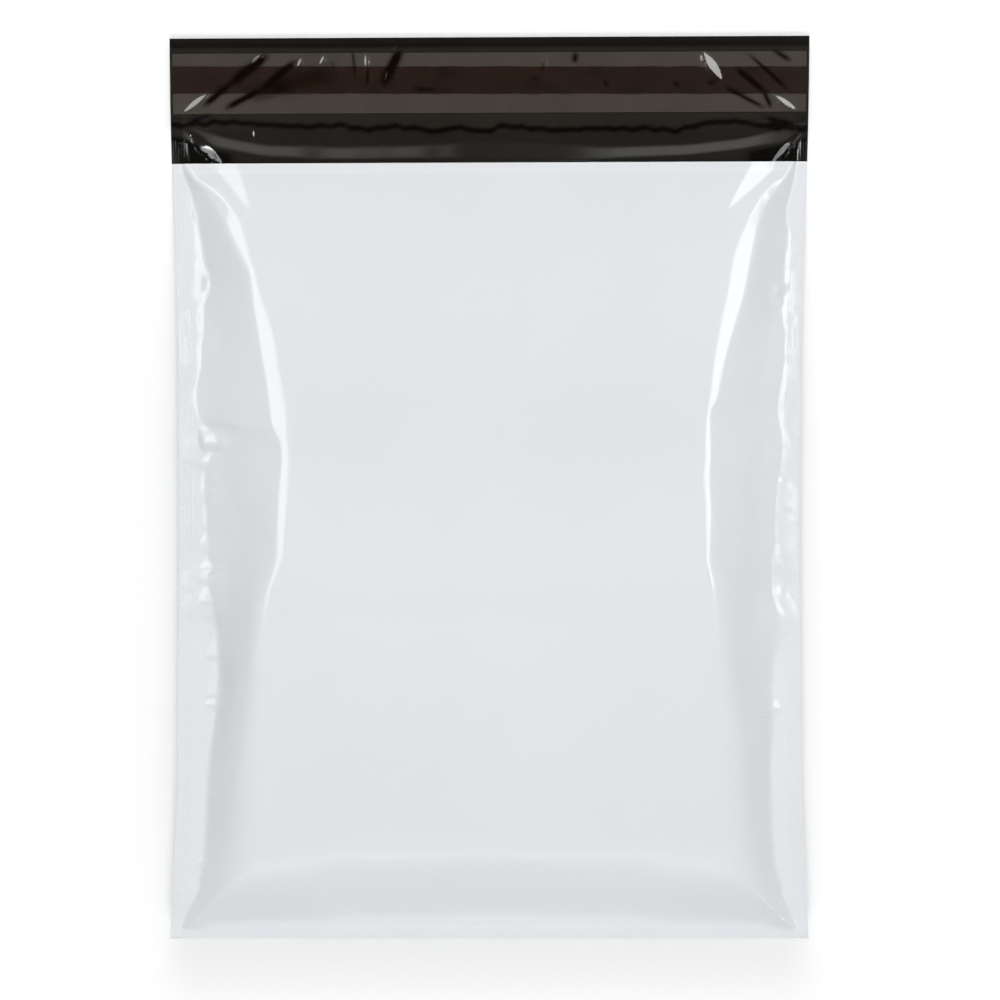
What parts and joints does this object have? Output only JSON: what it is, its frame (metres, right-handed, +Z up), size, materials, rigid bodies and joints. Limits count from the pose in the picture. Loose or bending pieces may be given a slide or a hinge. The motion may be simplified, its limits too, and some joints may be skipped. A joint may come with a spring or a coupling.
{
  "type": "poly mailer bag",
  "caption": "Filled plastic film shipping bag lying on its back, white outside and black inside, side-welded, with an open self-seal flap that carries a glue stripe under a release liner.",
  "frame": {"origin": "middle of the bag's outline on the surface that it lies on", "axes": "+X across the bag, +Y along it toward the flap's free edge, +Z up out of the front leaf"},
  "size_m": [0.255, 0.359, 0.03],
  "materials": {
    "white_film": "glossy co-extruded polyethylene film, white outside and black inside",
    "hot_melt_glue": "glossy dark brown hot-melt adhesive",
    "liner_film": "hazy translucent release film, grey over the black flap"
  },
  "bodies": {
    "root": {"bag": "white_film", "adhesive_strip": "hot_melt_glue", "release_liner": "liner_film"}
  },
  "joints": []
}
